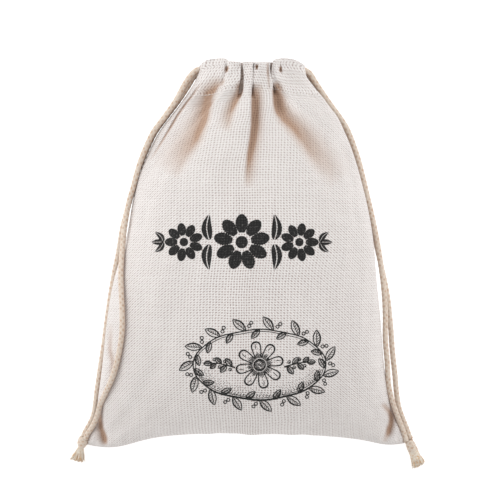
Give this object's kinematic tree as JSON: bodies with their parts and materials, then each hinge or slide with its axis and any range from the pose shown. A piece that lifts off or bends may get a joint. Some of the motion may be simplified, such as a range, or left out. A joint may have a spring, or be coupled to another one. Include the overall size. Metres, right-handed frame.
{
  "type": "linen bread bag",
  "caption": "Filled linen drawstring bag lying on its back, with a gathered mouth and paired cotton drawcords knotted and frayed past the bottom corners.",
  "frame": {"origin": "on the floor under the middle of the bag's own box, cords and knots not counted", "axes": "+X across the bag, +Y from the bottom seam to the gathered mouth, +Z out of the front panel"},
  "size_m": [0.3273, 0.3718, 0.098],
  "materials": {
    "linen_cloth": "matte coarse plain weave, unbleached",
    "cotton_cord": "matte braided cotton",
    "cut_yarn": "matte loose cotton fibre"
  },
  "bodies": {
    "root": {"bag_cloth": "linen_cloth", "drawcord_left_front": "cotton_cord", "drawcord_left_rear": "cotton_cord", "drawcord_right_front": "cotton_cord", "drawcord_right_rear": "cotton_cord", "knot_left": "cotton_cord", "knot_right": "cotton_cord", "frayed_end_left": "cut_yarn", "frayed_end_right": "cut_yarn"}
  },
  "joints": []
}
